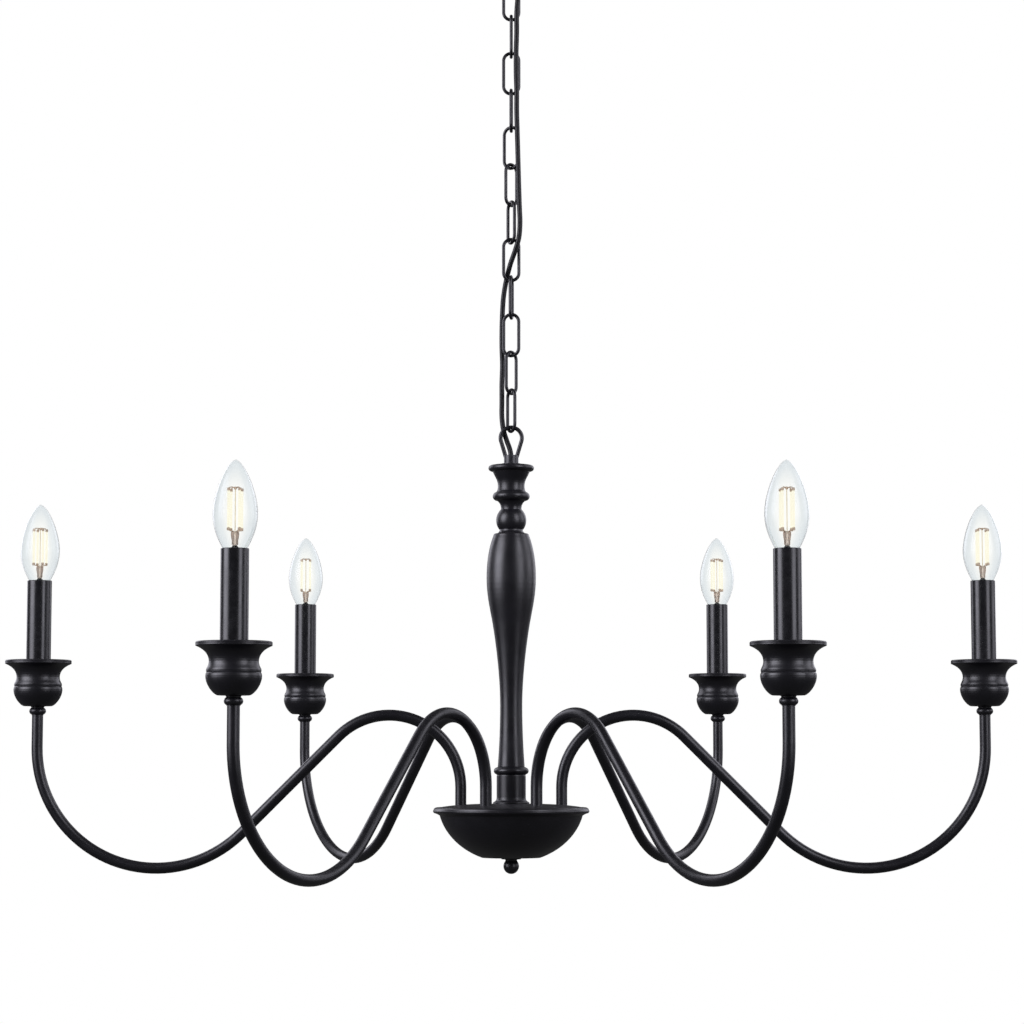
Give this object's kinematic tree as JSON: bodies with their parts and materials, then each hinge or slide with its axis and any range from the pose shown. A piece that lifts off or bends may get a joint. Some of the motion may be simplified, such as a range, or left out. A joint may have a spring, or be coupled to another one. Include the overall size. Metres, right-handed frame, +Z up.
{
  "type": "multi arm chandelier",
  "caption": "Chain-hung chandelier with upswept S-shaped arms, candle sleeves and clear filament bulbs around a turned column over a bowl, with its ceiling canopy.",
  "frame": {"origin": "centre of the canopy's rim, in the plane of the ceiling, between the two outlet-box screws", "axes": "+Z up into the ceiling, +X through candle 1, so the fixture hangs towards -Z"},
  "size_m": [0.9122, 0.798, 0.8808],
  "materials": {
    "black_paint": "satin black powder coat",
    "sleeve_black": "satin black enamel",
    "bulb_glass": "clear",
    "bulb_brass": "polished",
    "brass": "satin",
    "zinc": "zinc plated",
    "cord_black": "matt PVC jacket",
    "socket_plastic": "phenolic",
    "wire_plastic": "twisted pair",
    "bulb_filament": "phosphor-coated LED filament"
  },
  "bodies": {
    "ceiling": {"canopy": "black_paint", "crossbar": "zinc", "crossbar_hardware": "brass", "screw_collar": "black_paint", "canopy_loop": "black_paint"},
    "link_1": {"chain_link_1": "black_paint"},
    "link_2": {"chain_link_2": "black_paint"},
    "link_3": {"chain_link_3": "black_paint"},
    "link_4": {"chain_link_4": "black_paint"},
    "link_5": {"chain_link_5": "black_paint"},
    "link_6": {"chain_link_6": "black_paint"},
    "link_7": {"chain_link_7": "black_paint"},
    "link_8": {"chain_link_8": "black_paint"},
    "link_9": {"chain_link_9": "black_paint"},
    "link_10": {"chain_link_10": "black_paint"},
    "link_11": {"chain_link_11": "black_paint"},
    "link_12": {"chain_link_12": "black_paint"},
    "fixture": {"power_cord": "cord_black", "body_loop": "black_paint", "column_cup": "black_paint", "column_vase": "black_paint", "column_foot": "black_paint", "arm_plate": "black_paint", "bowl": "black_paint", "finial": "black_paint", "centre_rod": "zinc", "lock_nuts": "zinc", "arm_1": "black_paint", "arm_2": "black_paint", "arm_3": "black_paint", "arm_4": "black_paint", "arm_5": "black_paint", "arm_6": "black_paint", "lower_cups": "black_paint", "drip_pan_1": "black_paint", "drip_pan_2": "black_paint", "drip_pan_3": "black_paint", "drip_pan_4": "black_paint", "drip_pan_5": "black_paint", "drip_pan_6": "black_paint", "candle_sleeve_1": "sleeve_black", "candle_sleeve_2": "sleeve_black", "candle_sleeve_3": "sleeve_black", "candle_sleeve_4": "sleeve_black", "candle_sleeve_5": "sleeve_black", "candle_sleeve_6": "sleeve_black", "sockets": "socket_plastic", "arm_wires": "wire_plastic"},
    "bulb_1": {"bulb_glass_1": "bulb_glass", "bulb_core_1": "bulb_brass"},
    "bulb_2": {"bulb_glass_2": "bulb_glass", "bulb_core_2": "bulb_brass"},
    "bulb_3": {"bulb_glass_3": "bulb_glass", "bulb_core_3": "bulb_brass"},
    "bulb_4": {"bulb_glass_4": "bulb_glass", "bulb_core_4": "bulb_brass"},
    "bulb_5": {"bulb_glass_5": "bulb_glass", "bulb_core_5": "bulb_brass"},
    "bulb_6": {"bulb_glass_6": "bulb_glass", "bulb_core_6": "bulb_brass"}
  },
  "joints": [
    {"name": "link_1_swing", "type": "hinge", "parent": "ceiling", "child": "link_1", "pos_m": [0, 0, -0.06565], "axis": [0, 1, 0], "range_deg": [-8, 8], "deforming": ["power_cord"]},
    {"name": "link_2_swing", "type": "hinge", "parent": "link_1", "child": "link_2", "pos_m": [0, 0, -0.1], "axis": [1, 0, 0], "range_deg": [-8, 8]},
    {"name": "link_3_swing", "type": "hinge", "parent": "link_2", "child": "link_3", "pos_m": [0, 0, -0.1347], "axis": [0, 1, 0], "range_deg": [-8, 8]},
    {"name": "link_4_swing", "type": "hinge", "parent": "link_3", "child": "link_4", "pos_m": [0, 0, -0.1694], "axis": [1, 0, 0], "range_deg": [-8, 8]},
    {"name": "link_5_swing", "type": "hinge", "parent": "link_4", "child": "link_5", "pos_m": [0, 0, -0.2041], "axis": [0.0349, 0.9994, 0], "range_deg": [-8, 8]},
    {"name": "link_6_swing", "type": "hinge", "parent": "link_5", "child": "link_6", "pos_m": [0, 0, -0.2388], "axis": [0.9063, -0.4226, 0], "range_deg": [-8, 8]},
    {"name": "link_7_swing", "type": "hinge", "parent": "link_6", "child": "link_7", "pos_m": [0, 0, -0.2735], "axis": [0.7071, 0.7071, 0], "range_deg": [-8, 8]},
    {"name": "link_8_swing", "type": "hinge", "parent": "link_7", "child": "link_8", "pos_m": [0, 0, -0.3082], "axis": [-0.4226, 0.9063, 0], "range_deg": [-8, 8]},
    {"name": "link_9_swing", "type": "hinge", "parent": "link_8", "child": "link_9", "pos_m": [0, 0, -0.3429], "axis": [0.9962, 0.0872, 0], "range_deg": [-8, 8]},
    {"name": "link_10_swing", "type": "hinge", "parent": "link_9", "child": "link_10", "pos_m": [0, 0, -0.3776], "axis": [0.1392, 0.9903, 0], "range_deg": [-8, 8]},
    {"name": "link_11_swing", "type": "hinge", "parent": "link_10", "child": "link_11", "pos_m": [0, 0, -0.4123], "axis": [0.9781, -0.2079, 0], "range_deg": [-8, 8]},
    {"name": "link_12_swing", "type": "hinge", "parent": "link_11", "child": "link_12", "pos_m": [0, 0, -0.447], "axis": [0.6428, 0.766, 0], "range_deg": [-8, 8]},
    {"name": "fixture_swing", "type": "hinge", "parent": "link_12", "child": "fixture", "pos_m": [0, 0, -0.4817], "axis": [-0.4695, 0.8829, 0], "range_deg": [-8, 8]},
    {"name": "bulb_1_unscrew", "type": "slide", "parent": "fixture", "child": "bulb_1", "axis": [0, 0, 1], "range_m": [0, 0.026]},
    {"name": "bulb_2_unscrew", "type": "slide", "parent": "fixture", "child": "bulb_2", "axis": [0, 0, 1], "range_m": [0, 0.026]},
    {"name": "bulb_3_unscrew", "type": "slide", "parent": "fixture", "child": "bulb_3", "axis": [0, 0, 1], "range_m": [0, 0.026]},
    {"name": "bulb_4_unscrew", "type": "slide", "parent": "fixture", "child": "bulb_4", "axis": [0, 0, 1], "range_m": [0, 0.026]},
    {"name": "bulb_5_unscrew", "type": "slide", "parent": "fixture", "child": "bulb_5", "axis": [0, 0, 1], "range_m": [0, 0.026]},
    {"name": "bulb_6_unscrew", "type": "slide", "parent": "fixture", "child": "bulb_6", "axis": [0, 0, 1], "range_m": [0, 0.026]}
  ]
}
